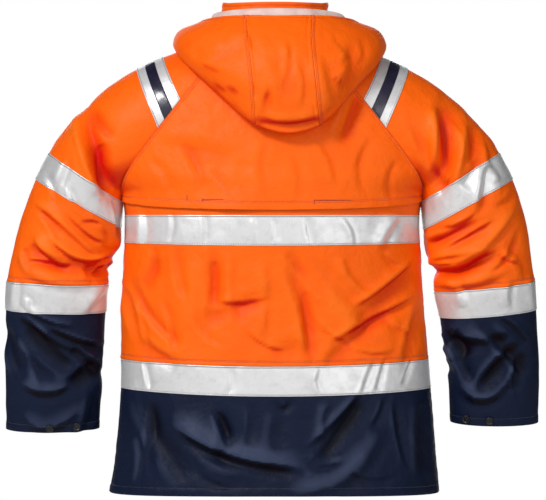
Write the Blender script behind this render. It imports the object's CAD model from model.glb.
"""Looks of a hooded high-visibility rain jacket that hangs as on a wearer, seen from the back.

Sizes are in millimetres and become metres when a mesh is made. The front faces -Y and +X is the
wearer's left. The forms are the torso, the two sleeves, the hood and the collar. Every piece of cloth
is a thin shell over one of them, with its folds, seams and stitches.
"""
import math

import bpy
import numpy as np
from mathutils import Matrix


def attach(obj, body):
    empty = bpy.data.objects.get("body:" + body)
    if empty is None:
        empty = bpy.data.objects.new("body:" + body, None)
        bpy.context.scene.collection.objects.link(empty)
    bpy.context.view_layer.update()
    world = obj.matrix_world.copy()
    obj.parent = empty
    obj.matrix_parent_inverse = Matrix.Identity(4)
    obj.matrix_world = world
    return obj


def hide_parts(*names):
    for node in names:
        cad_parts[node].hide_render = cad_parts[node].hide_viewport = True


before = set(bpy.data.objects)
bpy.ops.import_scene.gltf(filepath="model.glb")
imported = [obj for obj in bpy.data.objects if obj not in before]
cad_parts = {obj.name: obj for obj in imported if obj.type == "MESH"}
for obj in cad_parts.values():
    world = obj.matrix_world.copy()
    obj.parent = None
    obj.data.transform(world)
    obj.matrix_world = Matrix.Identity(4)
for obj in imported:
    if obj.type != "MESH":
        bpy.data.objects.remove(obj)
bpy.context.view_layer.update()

METRE = 0.001

# Sizes
CLOTH = 1.3  # wall of the shell, with its coating
HOOD_CLOTH = 1.1
LINING = 0.8
TAPE = 0.6
TAPE_LIFT = 0.7
SEAM_GAP = 0.5
CELL = 4.0  # between the points of a shell
TAPE_CELL = 3.2
LINING_CELL = 6.0
ARMPIT_RUN = 363
CHEST_TAPE = (395, 445)
WAIST_SEAM = 653
WAIST_TAPE = (653, 703)
HEM = 875
YOKE = {"edge": 386, "side_rise": 22, "rest": 340, "lift_from": 300, "lift_to": 336, "lift": 3.6, "edge_lift": 5.6}
YOKE_GAPE = {"x": 63, "width": 26, "out": 4.0}  # where the flap's edge stands away
ARM_TAPE = (369, 419)
CUFF_SEAM = 605
CUFF_TAPE = (605, 655)
CUFF_END = {"left": 862, "right": 850}
NECK = {"side_x": 97, "back_y": 78, "front_y": 95}
FLAP = {"half": 30, "lift": 2.0, "first_run": 14}
SHOULDER_TAPE = {"upper": 104, "width": 50, "slant": 66, "slant_end": 340}
SHOULDER_BAND = (16, 34)
HOOD_CENTRE_HALF = 52
HOOD_CENTRE_SHARE = 0.25
HOOD_LEAN = {"all": -12, "low": -16, "deep": 170}
HOOD_RAILS = 8
HOOD_FOLD_SPAN = {"start": 4.9, "full": 5.8, "fade": 7.2, "end": 8}
COLLAR_TUCK = 7
COLLAR_LEAN = -6
SEAM_CALM = {"sleeve": 0.22, "torso": 0.1, "arm": 60}
SIDE_BLEND = (-0.35, 0.1)
UNDERSIDE = {"from": 0.3, "to": 0.75, "depth": 15}  # cloth that faces down is deeper in colour
SNAP = {"radius": 7, "height": 2.6, "above": 11, "lift": 1.9}
SNAP_TURNS = {"left": (0.495, 0.68), "right": (0.55, 0.73)}


def table(columns, rows):
    """A table with named columns, each as an array."""
    data = np.array(rows, dtype=float)
    return {name: data[:, i] for i, name in enumerate(columns)}


FOLD_COLUMNS = ["x0", "z0", "x1", "z1", "x2", "z2", "width", "depth"]
TORSO = table(
  ['run', 'sideX', 'sideZ', 'backY', 'backZ', 'frontY', 'frontZ', 'midX'],
  [
    (0, 80, 3, 78, 0, 95, -72, 0),
    (80, 118, -57, 106, -60, 114, -108, 0),
    (158, 159, -109, 126, -116, 129, -145, 0),
    (233, 200, -161, 137, -168, 137, -180, 0),
    (306, 240, -214, 142, -218, 140, -220, 0),
    (343, 254, -243, 143, -247, 141, -246, 0),
    (363, 257, -267, 144, -269, 141, -268, 0),
    (395, 254, -296, 144, -298, 141, -297, 0),
    (445, 255, -344, 143, -349, 141, -347, 0),
    (480, 257, -378, 141, -382, 140, -380, 0),
    (545, 260, -441, 138, -446, 138, -444, -1),
    (653, 265, -543, 138, -550, 137, -548, -5),
    (703, 267, -593, 140, -600, 138, -598, -7),
    (790, 275, -688, 144, -684, 141, -684, -7),
    (875, 284, -774, 148, -766, 145, -768, -4.5),
  ],
)
SLEEVE = table(
  [
    'run', 'topX', 'topZ', 'backSeamX', 'backSeamZ', 'backOpen', 'backDepth',
    'frontSeamX', 'frontSeamZ', 'frontOpen', 'frontDepth', 'midY', 'lean', 'rightTop', 'rightSeam', 'rightDrop',
  ],
  [
    (0, 97, 8, 80, 3, 34.4, 78, 80, -14, 34.4, 95, 0, 0, 0, 0, 0),
    (80, 165, -14, 118, -57, 62, 105, 118, -67, 62, 104, 0, 0, 0, 0, 0),
    (158, 237, -46, 159, -109, 80, 105, 159, -117, 80, 104, 0, 0, 2, 0, 0),
    (233, 300, -89, 200, -161, 98, 99, 200, -167, 98, 99, 0, 0, 5, 0, 0),
    (306, 352, -143, 240, -214, 122, 94, 240, -216, 122, 94, 0, 0, 8, 0, 0),
    (343, 373, -168, 254, -243, 148, 94, 254, -244, 148, 94, 0, 0, 8, 0, 0),
    (363, 382, -183, 257, -267, 180, 94, 257, -267, 180, 94, 0, 0, 7, 0, 0),
    (369, 385, -188, 258, -272, 180, 94, 258, -272, 180, 94, 0, 0, 7, 0, 0),
    (419, 408, -234, 259, -318, 180, 87, 259, -318, 180, 88, 2, 0.01, 7, 2, 3),
    (465, 425, -278, 260, -345, 180, 78, 260, -345, 180, 80, 4, 0.03, 6, 3, 10),
    (515, 439, -325, 275, -368, 180, 70, 275, -368, 180, 73, 6, 0.04, 2, 2, 15),
    (570, 451, -374, 278, -391, 180, 65, 278, -391, 180, 67, 6, 0.05, -2, 0, 14),
    (605, 457, -408, 282, -414, 180, 61, 282, -414, 180, 63, 4, 0.07, -3, -2, 13),
    (655, 460, -458, 289, -463, 180, 56, 289, -463, 180, 57, -4, 0.09, -3, 2, 9),
    (750, 463, -555, 293, -556, 180, 47, 293, -556, 180, 46, -18, 0.13, 1, 11, 0),
    (862, 465, -668, 301, -667, 180, 37, 301, -667, 180, 35, -38, 0.16, 0, 11, 0),
  ],
)
HOOD = table(
  [
    'azimuth', 'rollOut', 'rollUp', 'insideOut', 'insideUp', 'foldOut', 'foldUp', 'fullOut', 'fullUp',
    'rimOut', 'rimUp',
  ],
  [
    (0, 14, 47, 48, -70, 82, -164, 112, -92, 54, 35),
    (20, 14, 47, 49, -58, 84, -148, 111, -82, 53, 36),
    (40, 13, 46, 50, -32, 80, -100, 106, -56, 50, 36),
    (60, 13, 43, 48, -6, 88, -49, 100, -27, 45, 33),
    (80, 12, 38, 42, 6, 84, -20, 88, -6, 38, 28),
    (105, 11, 36, 38, 8, 78, -8, 80, 4, 34, 33),
    (130, 9, 32, 25, 2, 46, -24, 62, -8, 28, 30),
    (157, 7, 26, 13, 8, 24, -9, 36, 5, 22, 27),
  ],
)
NECK_SEAM = table(['azimuth', 'z'], [(0, 0), (34, 1), (55.6, 3), (90, 8), (124.4, -14), (150, -49), (180, -72)])
COLLAR = table(['azimuth', 'rise', 'drawIn'], [(0, 65, 1), (50, 64, 2), (90, 62, 3), (140, 64, 3), (180, 74, 2)])
BACK_FOLDS = table(FOLD_COLUMNS, [
  (202, -367, 209, -401, 222, -418, 13, -6),
  (134, -372, 136, -430, 140, -492, 22, 4),
  (99, -374, 98, -412, 94, -455, 14, -6),
  (117, -475, 72, -459, 9, -434, 16, -6),
  (-29, -378, -55, -459, -69, -552, 14, -8),
  (-48, -393, -108, -441, -134, -485, 20, 5),
  (-144, -478, -189, -437, -244, -390, 15, -9),
  (-88, -555, -144, -497, -202, -457, 15, -7),
  (-226, -548, -240, -494, -254, -452, 11, -6),
  (252, -423, 238, -466, 226, -510, 11, -6),
  (232, -504, 196, -531, 156, -548, 13, -6),
  (2, -550, -31, -520, -64, -534, 18, -4),
  (88, -632, 76, -678, 98, -704, 12, -6),
  (-154, -612, -110, -667, -74, -716, 14, -9),
  (223, -602, 190, -676, 142, -744, 15, -6),
  (-256, -618, -252, -682, -258, -738, 13, -6),
  (-176, -658, -113, -734, -26, -748, 19, 6),
  (168, -626, 98, -712, 10, -712, 21, 5),
  (-14, -628, -8, -660, -5, -690, 14, -4),
  (-148, -90, -131, -131, -112, -180, 15, -8),
  (196, -180, 124, -190, 60, -206, 20, -4),
])
FRONT_FOLDS = table(FOLD_COLUMNS, [
  (206, -300, 188, -350, 150, -402, 15, -7),
  (96, -380, 104, -450, 92, -530, 16, -6),
  (160, -500, 196, -470, 246, -440, 14, -7),
  (-206, -296, -182, -350, -140, -398, 15, -7),
  (-84, -372, -98, -452, -88, -528, 16, -6),
  (-150, -520, -190, -482, -250, -430, 14, -8),
  (150, -620, 116, -680, 72, -740, 15, -7),
  (-160, -616, -120, -682, -84, -742, 15, -7),
  (120, -130, 150, -190, 196, -240, 16, -6),
  (-120, -130, -150, -190, -196, -240, 16, -6),
])
SLEEVE_BACK_FOLDS = table(FOLD_COLUMNS, [
  (320, -118, 300, -190, 282, -262, 14, -14),
  (334, -128, 322, -200, 298, -262, 13, 6),
  (315, -112, 292, -141, 268, -168, 12, -6),
  (414, -345, 380, -375, 318, -393, 12, -10),
  (318, -393, 300, -390, 282, -386, 12, -12),
  (399, -331, 353, -362, 306, -368, 14, 6),
  (430, -362, 389, -403, 308, -411, 13, 5),
  (458, -489, 451, -529, 436, -568, 10, -6),
  (420, -489, 385, -526, 337, -563, 13, -9),
  (440, -500, 400, -542, 352, -578, 13, 4),
  (348, -588, 322, -568, 294, -548, 14, -9),
  (430, -580, 392, -597, 350, -584, 13, 5),
  (428, -630, 392, -662, 330, -626, 13, 4),
  (333, -690, 318, -652, 307, -606, 11, -5),
  (-294, -112, -296, -175, -287, -238, 17, -9),
  (-272, -126, -277, -179, -281, -226, 10, 4),
  (-236, -146, -268, -214, -290, -266, 11, -7),
  (-330, -140, -316, -197, -303, -244, 15, 7),
  (-360, -202, -338, -228, -322, -252, 13, -7),
  (-369, -208, -361, -249, -352, -296, 10, -8),
  (-266, -348, -303, -333, -350, -309, 11, -9),
  (-271, -368, -311, -360, -368, -352, 11, 7),
  (-284, -394, -329, -386, -384, -359, 11, -9),
  (-282, -408, -338, -410, -402, -384, 12, 6),
  (-396, -342, -425, -372, -436, -410, 13, -5),
  (-306, -508, -322, -522, -332, -542, 12, -13),
  (-292, -497, -346, -505, -410, -490, 14, 6),
  (-358, -603, -381, -564, -428, -518, 13, -9),
  (-330, -582, -360, -610, -402, -582, 14, 6),
  (-436, -534, -420, -573, -406, -602, 12, -6),
])
SLEEVE_FRONT_FOLDS = table(FOLD_COLUMNS, [
  (316, -122, 300, -190, 284, -258, 15, -9),
  (-316, -122, -300, -190, -284, -258, 15, -9),
  (284, -386, 340, -402, 410, -372, 13, -9),
  (-284, -390, -340, -404, -410, -370, 13, -9),
  (300, -520, 350, -552, 420, -540, 14, -7),
  (-302, -516, -352, -550, -424, -536, 14, -7),
  (420, -610, 380, -640, 330, -622, 14, 5),
  (-420, -606, -380, -636, -330, -618, 14, 5),
])
HOOD_FOLDS = table(FOLD_COLUMNS, [
  (-124, -10, -136, -52, -114, -92, 14, -7),
  (94, -42, 72, -28, 48, -12, 13, -4),
  (-8, -40, -20, -76, -26, -112, 16, -4),
  (14, -100, 8, -122, 12, -146, 11, -5),
  (-74, -40, -84, -84, -92, -124, 12, 4),
])
TORSO_CREASES = table(FOLD_COLUMNS, [
    (203, -349, 200, -376, 205, -401, 8, -4),
    (160, -353, 156, -398, 143, -439, 9, -5),
    (100, -354, 98, -406, 106, -469, 8, -5),
    (96, -443, 53, -449, 3, -439, 7, -4),
    (-23, -356, -57, -399, -96, -439, 9, -5),
    (-52, -426, -57, -472, -63, -526, 8, -5),
    (-243, -381, -190, -423, -138, -456, 7, -6.5),
    (-246, -439, -166, -479, -96, -514, 7, -6.5),
    (243, -406, 206, -469, 153, -514, 8, -6.5),
    (70, -359, 73, -423, 67, -489, 12, 4),
    (17, -376, 13, -439, 23, -514, 11, 4),
    (-113, -366, -133, -409, -166, -433, 9, 4),
    (-188, -359, -200, -376, -221, -386, 6, -4),
    (126, -469, 113, -496, 83, -516, 6, -4),
    (47, -489, 17, -516, -20, -526, 6, -4),
    (230, -439, 226, -476, 216, -522, 7, 4),
    (186, -439, 170, -481, 166, -532, 7, -4),
    (-77, -469, -96, -492, -133, -506, 6, 4),
    (-193, -469, -213, -492, -243, -502, 6, -4),
    (-133, -514, -166, -526, -206, -522, 6, 4),
    (153, -176, 126, -220, 116, -260, 9, -5),
    (203, -206, 176, -236, 166, -260, 7, -4),
    (17, -173, 27, -220, 17, -273, 10, 3),
    (-77, -173, -100, -206, -106, -250, 8, -4),
    (-166, -173, -146, -216, -153, -260, 8, -4),
    (-210, -206, -193, -240, -200, -273, 6, -4),
    (100, -223, 77, -250, 67, -283, 6, -4),
    (-30, -190, -47, -233, -40, -279, 9, -3),
    (93, -626, 83, -649, 77, -674, 8, -8),
    (-151, -601, -110, -645, -63, -692, 10, -8),
    (-190, -606, -183, -629, -168, -654, 7, -5),
    (-7, -604, -18, -622, -33, -604, 6, -5),
    (153, -647, 73, -689, -47, -710, 14, 7),
    (-73, -710, -96, -709, -116, -699, 9, 5),
    (160, -662, 77, -707, -47, -729, 10, -7),
    (206, -612, 203, -655, 210, -722, 9, -5),
    (-210, -612, -213, -655, -230, -722, 8, -5),
    (37, -612, 33, -645, 43, -682, 8, -4),
    (-90, -612, -80, -639, -83, -672, 7, 4),
    (126, -722, 103, -742, 67, -752, 6, -3),
    (-130, -729, -163, -742, -210, -739, 6, -3),
    (233, -672, 226, -709, 233, -749, 6, 4),
    (-170, -544, -161, -569, -151, -594, 4, -5),
    (-190, -539, -183, -566, -175, -592, 4, -5),
    (-238, -542, -230, -562, -220, -582, 4, -5),
    (216, -546, 211, -569, 206, -591, 4, -5),
    (-3, -304, -7, -323, -7, -343, 4, -3),
    (30, -303, 30, -323, 30, -346, 5, 2.5),
    (-57, -303, -60, -323, -67, -348, 5, -2.5),
    (113, -296, 110, -323, 113, -348, 5, -2.5),
    (-116, -304, -130, -326, -133, -349, 5, 2.5),
    (170, -293, 166, -316, 173, -343, 4, -2.5),
    (73, -552, 67, -576, 77, -599, 5, -2.5),
    (-77, -552, -70, -572, -77, -596, 5, 2.5),
    (226, -290, 222, -320, 227, -352, 9, 6.5),
    (-176, -352, -190, -326, -208, -296, 10, 6.5),
    (-146, -96, -134, -130, -120, -172, 7, -5),
])
SLEEVE_CREASES = table(FOLD_COLUMNS, [
    (298, -175, 289, -217, 273, -262, 15, -10),
    (405, -273, 356, -309, 298, -366, 8, 6),
    (400, -332, 383, -361, 342, -390, 6, 5),
    (372, -346, 326, -377, 276, -370, 7, -13),
    (322, -312, 305, -309, 292, -315, 4, -4),
    (288, -322, 281, -336, 283, -346, 4, -4),
    (419, -375, 383, -381, 346, -390, 6, -7),
    (426, -353, 420, -373, 410, -395, 5, -5.5),
    (270, -376, 287, -392, 302, -402, 5, -7),
    (393, -292, 373, -315, 359, -339, 6, -5.5),
    (349, -298, 319, -329, 292, -346, 6, -5.5),
    (383, -231, 370, -258, 373, -281, 6, -4),
    (339, -251, 329, -278, 309, -295, 6, -5.5),
    (271, -271, 264, -298, 264, -336, 5, -7),
    (-287, -110, -292, -170, -285, -229, 15, -10),
    (-336, -144, -342, -180, -336, -214, 14, -9),
    (-276, -231, -292, -247, -300, -231, 4, -4),
    (-261, -376, -285, -378, -307, -376, 6, 5.5),
    (-307, -376, -359, -349, -415, -280, 9, 7),
    (-268, -390, -315, -393, -359, -370, 7, -10),
    (-370, -395, -400, -370, -419, -324, 6, -5.5),
    (-258, -332, -258, -356, -268, -376, 6, -5.5),
    (-285, -319, -315, -315, -346, -295, 6, -5.5),
    (-295, -356, -332, -336, -376, -309, 6, -7),
    (-380, -280, -400, -271, -412, -254, 5, -4),
    (-387, -363, -400, -376, -427, -380, 5, -5.5),
    (-305, -132, -319, -186, -312, -231, 7, 4),
    (-366, -170, -373, -197, -366, -224, 7, -4),
    (432, -475, 383, -512, 334, -539, 9, -8),
    (385, -492, 339, -515, 292, -526, 8, -8),
    (342, -526, 319, -546, 292, -576, 8, -8),
    (437, -509, 414, -553, 404, -604, 7, 4),
    (-302, -492, -319, -536, -344, -585, 9, -8),
    (-353, -485, -397, -526, -437, -573, 10, -8),
    (-285, -509, -295, -546, -312, -573, 6, -4),
    (-387, -475, -414, -492, -441, -522, 6, -4),
    (420, -434, 410, -444, 417, -461, 4, -3.5),
    (-420, -536, -410, -576, -420, -610, 6, 4),
    (427, -441, 393, -471, 342, -485, 6, 4),
    (350, -205, 356, -222, 366, -243, 9, 5.5),
    (438, -404, 440, -430, 443, -456, 7, 4.5),
    (289, -415, 306, -440, 325, -462, 9, 5.5),
    (-366, -204, -372, -220, -384, -240, 9, 5.5),
    (-440, -404, -442, -430, -444, -456, 7, 4.5),
    (-300, -400, -318, -428, -330, -452, 9, 5.5),
    (-404, -410, -398, -430, -402, -452, 8, 5.5),
])
HOOD_CREASES = table(FOLD_COLUMNS, [
    (31, -83, 30, -96, 25, -106, 5, -3),
    (7, -88, 7, -103, 12, -121, 5, -3),
    (48, 16, 36, -4, 30, -24, 5, -3),
    (-102, 3, -112, -14, -125, -25, 5, -3),
    (-130, -30, -114, -47, -92, -58, 6, -4),
    (-95, -75, -109, -79, -120, -88, 5, -3),
    (135, -17, 112, -30, 82, -33, 6, -3),
    (125, -37, 95, -53, 66, -56, 7, 3),
    (95, -83, 76, -93, 49, -96, 6, -3),
    (-20, -10, -23, -47, -13, -83, 8, 3),
    (-46, -43, -56, -79, -53, -116, 7, -3),
    (-148, -4, -155, -27, -145, -50, 6, -3),
    (-112, -96, -95, -116, -76, -129, 6, 3),
    (72, 13, 79, 0, 76, -20, 5, -2.5),
    (22, -147, -30, -153, -82, -143, 10, -17),
])

# Reading tables and random fields


def smooth(low, high, x):
    t = np.clip((x - low) / (high - low), 0, 1)
    return t * t * (3 - 2 * t)


def sample(rows, axis, at):
    """All the columns of a table at places between its rows, as smooth curves through the rows."""
    x = rows[axis]
    at = np.clip(at, x[0], x[-1])
    i = np.clip(np.searchsorted(x, at) - 1, 0, len(x) - 2)
    h = x[i + 1] - x[i]
    t = (at - x[i]) / h
    row = np.arange(len(x))
    before, after = np.maximum(row - 1, 0), np.minimum(row + 1, len(x) - 1)
    found = {}
    for key, y in rows.items():
        slope = (y[after] - y[before]) / (x[after] - x[before])
        m0, m1 = slope[i] * h, slope[i + 1] * h
        rise = y[i + 1] - y[i]
        found[key] = y[i] + t * (m0 + t * (3 * rise - 2 * m0 - m1 + t * (m0 + m1 - 2 * rise)))
    return found


def weights(t):
    """The shares of four neighbours in a smooth curve between the middle two."""
    return (
        0.5 * t * (t * (2 - t) - 1),
        0.5 * (t * t * (3 * t - 5) + 2),
        0.5 * t * (t * (4 - 3 * t) + 1),
        0.5 * t * t * (t - 1),
    )


class Uneven:
    """A smooth random field over a plane, about -1 to 1, with lumps of a given size."""

    SIDE = 64

    def __init__(self, seed, size):
        self.values = np.random.default_rng(seed).uniform(-1, 1, (self.SIDE, self.SIDE))
        self.size = size

    def __call__(self, x, y):
        a, b = x / self.size, y / self.size
        i, j = np.floor(a).astype(int), np.floor(b).astype(int)
        wi, wj = weights(a - i), weights(b - j)
        total = 0
        for m in range(4):
            for n in range(4):
                near = self.values[(j + n - 1) % self.SIDE, (i + m - 1) % self.SIDE]
                total = total + wi[m] * wj[n] * near
        return total


LUMPS = Uneven(3, 46)
CRUMPLE = Uneven(5, 17)
PUCKER = Uneven(11, 9)
CRINKLE = Uneven(17, 7)
FINE = Uneven(23, 3.6)

# Folds

FOLD_STEPS = 8
FOLD_END_LEFT = 0.15
CREST = 0.4  # height of the ridge beside a trough, as a share of its depth
STEEP, GENTLE = 0.62, 1.3  # widths of a fold's two sides: a trough is steep on its upper left
LEAST_WIDTH = 3.6


def fold_line(row):
    """The points of a fold's curve, which passes through its bend half way."""
    x0, z0, x1, z1, x2, z2 = row
    bend = np.array([2 * x1 - (x0 + x2) / 2, 2 * z1 - (z0 + z2) / 2])
    t = np.linspace(0, 1, FOLD_STEPS + 1)[:, None]
    return (1 - t) ** 2 * np.array([x0, z0]) + 2 * t * (1 - t) * bend + t**2 * np.array([x2, z2])


def fold_relief(folds, x, z):
    """How far the folds of a table move the cloth out, seen from the back or the front."""
    relief = np.zeros_like(x)
    rows = zip(*(folds[name] for name in FOLD_COLUMNS))
    for *ends, width, depth in rows:
        line = fold_line(ends)
        low, high = line.min(axis=0) - 3.2 * width, line.max(axis=0) + 3.2 * width
        near = (x > low[0]) & (x < high[0]) & (z > low[1]) & (z < high[1])
        px, pz = x[near], z[near]
        best = np.full(px.shape, np.inf)
        along = np.zeros(px.shape)
        side = np.zeros(px.shape)
        for i in range(FOLD_STEPS):
            (ax, az), (bx, bz) = line[i], line[i + 1]
            dx, dz = bx - ax, bz - az
            t = np.clip(((px - ax) * dx + (pz - az) * dz) / (dx * dx + dz * dz), 0, 1)
            offset = np.hypot(px - ax - t * dx, pz - az - t * dz)
            closer = offset < best
            best = np.where(closer, offset, best)
            along = np.where(closer, (i + t) / FOLD_STEPS, along)
            side = np.where(closer, np.sign((px - ax) * dz - (pz - az) * dx), side)
        fade = 1 - (1 - FOLD_END_LEFT) * np.abs(2 * along - 1) ** 4
        lit = np.sign((ends[5] - ends[1]) - (ends[4] - ends[0])) or 1
        across = best * side * lit * (1 if depth < 0 else -1)
        reach = np.where(across > 0, max(STEEP * width, LEAST_WIDTH), GENTLE * width)
        crest = CREST * np.exp(-(((across - 1.25 * width) / (0.6 * width)) ** 2))
        relief[near] += depth * fade * (np.exp(-((best / reach) ** 1.8)) - crest)
    return relief


def mirrored(folds):
    """The same folds with left and right swapped."""
    return {name: -values if name.startswith("x") else values for name, values in folds.items()}


def joined(*tables):
    return {name: np.concatenate([rows[name] for rows in tables]) for name in FOLD_COLUMNS}


def both_folds(back, front, points, behind):
    """The folds of the back and of the front, one giving way to the other at the sides."""
    share = smooth(*SIDE_BLEND, behind)
    x, z = points[..., 0], points[..., 2]
    return share * fold_relief(back, x, z) + (1 - share) * fold_relief(front, x, z)


# Forms


def unit(vectors):
    return vectors / np.maximum(np.linalg.norm(vectors, axis=-1, keepdims=True), 1e-9)


def grid_normals(points, facing):
    across = np.gradient(points, axis=1)
    down = np.gradient(points, axis=0)
    return unit(facing * np.cross(across, down))


class Form:
    """A form on a fine even grid of u and v, read smoothly between the grid's points."""

    def __init__(self, plain, relief, facing, us, vs):
        self.us, self.vs = us, vs
        u, v = np.meshgrid(us, vs)
        self.plain = plain(u, v)
        self.relief = relief(u, v, self.plain)
        self.points = self.plain + self.relief[..., None] * grid_normals(self.plain, facing)
        self.normals = grid_normals(self.points, facing)

    def read(self, field, u, v):
        a = np.clip((u - self.us[0]) / (self.us[1] - self.us[0]), 0, len(self.us) - 1)
        b = np.clip((v - self.vs[0]) / (self.vs[1] - self.vs[0]), 0, len(self.vs) - 1)
        i = np.minimum(a.astype(int), len(self.us) - 2)
        j = np.minimum(b.astype(int), len(self.vs) - 2)
        wi, wj = weights(a - i), weights(b - j)
        total = 0
        for m in range(4):
            column = np.clip(i + m - 1, 0, len(self.us) - 1)
            for n in range(4):
                row = np.clip(j + n - 1, 0, len(self.vs) - 1)
                share = wi[m] * wj[n]
                total = total + (share[..., None] if field.ndim == 3 else share) * field[row, column]
        return total

    def at(self, u, v):
        """Points, outward directions and fold heights."""
        return self.read(self.points, u, v), unit(self.read(self.normals, u, v)), self.read(self.relief, u, v)


def sleeve_plain(side):
    """One sleeve: u from -1 on the front seam over the top to 1 on the back seam, v the run."""

    def plain(u, v):
        s = sample(SLEEVE, "run", v)
        back = u >= 0
        opened = np.radians(np.where(back, s["backOpen"], s["frontOpen"]))
        turn = np.abs(u) * opened
        share = (1 - np.cos(turn)) / (1 - np.cos(opened))
        right = 1 if side < 0 else 0
        seam_x = np.where(back, s["backSeamX"], s["frontSeamX"]) + right * s["rightSeam"]
        seam_z = np.where(back, s["backSeamZ"], s["frontSeamZ"]) - right * s["rightDrop"]
        top_x = s["topX"] + right * s["rightTop"]
        x = top_x + share * (seam_x - top_x)
        z = s["topZ"] + share * (seam_z - s["topZ"])
        y = np.where(back, s["backDepth"], -s["frontDepth"]) * np.sin(turn)
        return np.stack([side * x, y + s["midY"], z - s["lean"] * y], axis=-1)

    return plain


def torso_plain(back):
    """The torso's back or front: u from -1 on the wearer's right to 1 on the left, v the run."""
    seam_u = 1 if back else -1
    left = sleeve_plain(1)

    def plain(u, v):
        t = sample(TORSO, "run", v)
        seam = left(np.full_like(v, seam_u), v)
        open_side = np.stack([t["sideX"], np.zeros_like(v), t["sideZ"]], axis=-1)
        side = np.where((v < ARMPIT_RUN)[..., None], seam, open_side)
        depth = t["backY"] if back else t["frontY"]
        opened = np.arccos(np.clip(np.abs(side[..., 1]) / depth, 0, 1))
        turn = u * opened
        share = np.sin(turn) / np.sin(opened)
        middle_z = t["backZ"] if back else t["frontZ"]
        x = share * side[..., 0] + t["midX"]
        y = (depth if back else -depth) * np.cos(turn)
        z = side[..., 2] + (middle_z - side[..., 2]) * (1 - share**2)
        return np.stack([x, y, z], axis=-1)

    return plain


def neck_point(azimuth):
    angle = np.radians(azimuth)
    depth = np.where(np.cos(angle) >= 0, NECK["back_y"], NECK["front_y"])
    z = sample(NECK_SEAM, "azimuth", np.abs(azimuth))["z"]
    return np.stack([NECK["side_x"] * np.sin(angle), depth * np.cos(angle), z], axis=-1)


def neck_outward(azimuth):
    """The level direction out of the neck, square to its seam seen from above."""
    angle = np.radians(azimuth)
    depth = np.where(np.cos(angle) >= 0, NECK["back_y"], NECK["front_y"])
    return unit(np.stack([np.sin(angle) / NECK["side_x"], np.cos(angle) / depth, np.zeros_like(angle)], axis=-1))


def hood_out_up(azimuth, v):
    """Out and up on the hood's profile, v stretches from the neck seam."""
    eased = azimuth * (1 - np.exp(-((azimuth / 9) ** 2)))
    h = sample(HOOD, "azimuth", eased)
    outs = [
        3 + 0 * h["rollOut"], 0.45 * h["rollOut"] + 1, h["rollOut"], h["rollOut"] + 0.16 * h["insideOut"] + 3,
        h["insideOut"], h["foldOut"], h["fullOut"], 0.62 * h["fullOut"] + 0.38 * h["rimOut"] + 5, h["rimOut"],
    ]
    ups = [
        5 + 0 * h["rollUp"], 0.64 * h["rollUp"], h["rollUp"], 0.66 * h["rollUp"], h["insideUp"], h["foldUp"],
        h["fullUp"], 0.42 * h["fullUp"] + 0.58 * h["rimUp"], h["rimUp"],
    ]
    i = np.minimum(v.astype(int), HOOD_RAILS - 1)
    shares = weights(v - i)
    found = []
    for profile in (np.stack(outs), np.stack(ups)):
        total = 0
        for n in range(4):
            place = np.clip(i + n - 1, 0, HOOD_RAILS)
            total = total + shares[n] * np.take_along_axis(profile, place[None], axis=0)[0]
        found.append(total)
    return found


def hood_plain(u, v):
    """The hood: u from -1 at its right front corner to 1 at the left, v along the profile."""
    reach = NECK["back_y"] + hood_out_up(np.zeros_like(v), v)[0]
    panel_edge = np.degrees(np.arcsin(HOOD_CENTRE_HALF / reach))
    size = np.abs(u)
    beyond = (size - HOOD_CENTRE_SHARE) / (1 - HOOD_CENTRE_SHARE)
    inside = size / HOOD_CENTRE_SHARE * panel_edge
    outside = panel_edge + beyond * (HOOD["azimuth"][-1] - panel_edge)
    azimuth = np.where(size <= HOOD_CENTRE_SHARE, inside, outside)
    signed = azimuth * np.sign(u)
    out, up = hood_out_up(azimuth, v)
    lean = smooth(0, 3, v) * (HOOD_LEAN["all"] + HOOD_LEAN["low"] * np.maximum(0, -up / HOOD_LEAN["deep"]))
    shift = np.stack([lean, np.zeros_like(lean), up], axis=-1)
    return neck_point(signed) + neck_outward(signed) * out[..., None] + shift


def collar_plain(u, v):
    """The collar: u the azimuth over 180, v from 0 at its tucked edge to 1 at its top."""
    azimuth = 180 * u
    c = sample(COLLAR, "azimuth", np.abs(azimuth))
    up = -COLLAR_TUCK + v * (c["rise"] + COLLAR_TUCK)
    inward = COLLAR_INSIDE + c["drawIn"] * v
    lean = COLLAR_LEAN * np.maximum(0, up) / c["rise"]
    shift = np.stack([lean, np.zeros_like(lean), up], axis=-1)
    return neck_point(azimuth) - neck_outward(azimuth) * inward[..., None] + shift


COLLAR_INSIDE = 2.8


def lumps(points, size):
    """Soft unevenness all over, seen from the back or the front."""
    x, z = points[..., 0], points[..., 2]
    turned = 0.5 * points[..., 1]
    return size * (LUMPS(x + turned, z) + 0.4 * CRUMPLE(x + turned, z - turned))


def torso_form(back):
    def relief(u, v, points):
        calm = smooth(0, SEAM_CALM["torso"], 1 - np.abs(u))
        still = calm + (1 - calm) * smooth(ARMPIT_RUN, ARMPIT_RUN + SEAM_CALM["arm"], v)
        behind = points[..., 1] / sample(TORSO, "run", v)["backY"]
        return still * (both_folds(TORSO_BACK, TORSO_FRONT, points, behind) + lumps(points, 0.9))

    us, vs = np.linspace(-1, 1, 241), np.arange(0, HEM + 3, 3.0)
    return Form(torso_plain(back), relief, 1 if back else -1, us, vs)


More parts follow.
